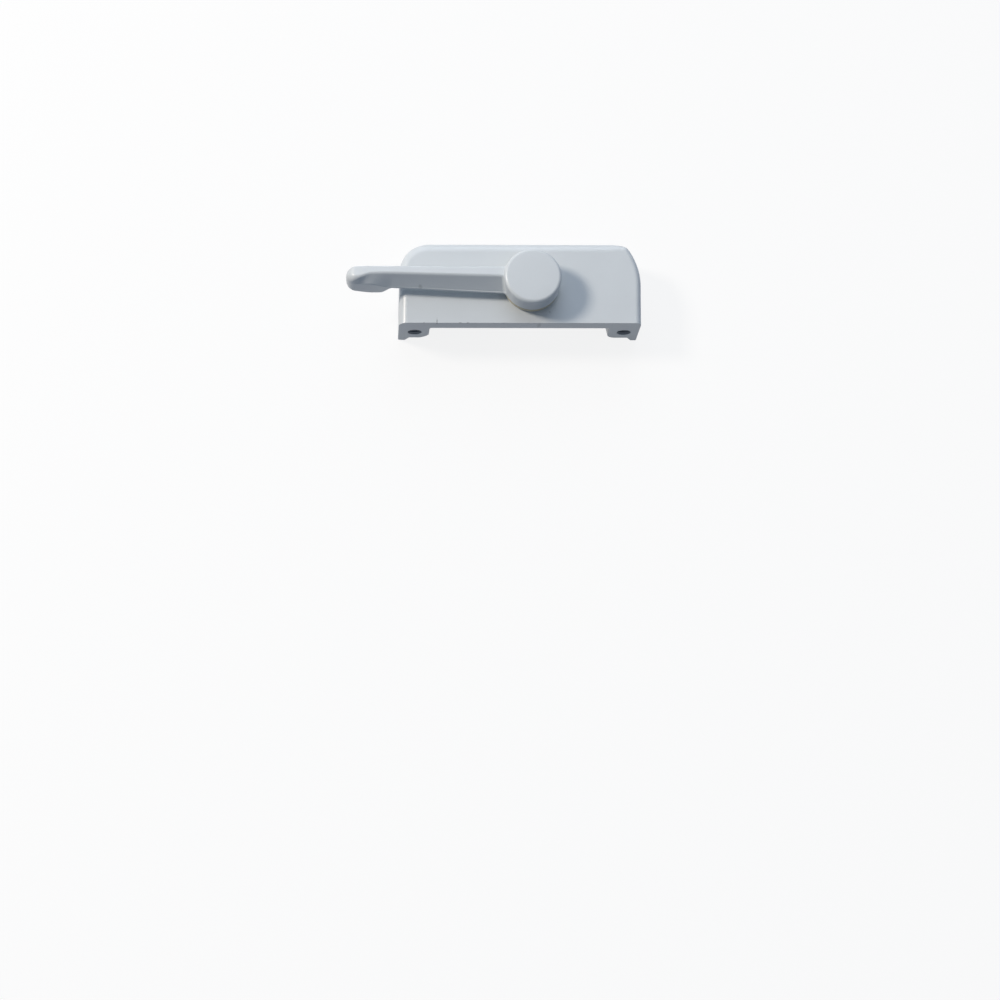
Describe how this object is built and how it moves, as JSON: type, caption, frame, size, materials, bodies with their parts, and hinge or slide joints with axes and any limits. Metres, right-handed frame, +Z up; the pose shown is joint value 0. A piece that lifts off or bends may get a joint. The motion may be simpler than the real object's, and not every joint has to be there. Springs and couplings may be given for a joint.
{
  "type": "window sash lock",
  "caption": "Surface-mounted window lock: a hollow notched housing with a lever handle on a vertical pivot that swings a hooked cam out through the front.",
  "frame": {"origin": "centre of the plan of the whole lock with the lever at rest, on the plane of the housing's open rim", "axes": "+X along the housing, away from the lever's tip; -Y out of the notched front, where the cam's hook comes out; +Z up the pivot axis"},
  "size_m": [0.0936, 0.0274, 0.0256],
  "materials": {
    "white_paint": "cool white baked paint over a zinc casting, satin to semi-gloss",
    "beige_nylon": "moulded natural nylon, matt",
    "spring_steel": "bare spring steel strip",
    "die_cast_zinc": "bare zinc die casting, tumbled",
    "zinc_plate": "bright zinc-plated steel"
  },
  "bodies": {
    "housing_body": {"housing": "white_paint", "pivot_bushing": "beige_nylon", "wave_washer": "spring_steel", "detent_spring": "spring_steel"},
    "handle_body": {"handle": "white_paint", "cam": "die_cast_zinc", "cam_washer": "zinc_plate", "retaining_screw": "zinc_plate"}
  },
  "joints": [
    {"name": "handle_turn", "type": "hinge", "parent": "housing_body", "child": "handle_body", "pos_m": [0.01155, -0.00135, 0.0186], "axis": [0, 0, -1], "range_deg": [0, 135]}
  ]
}
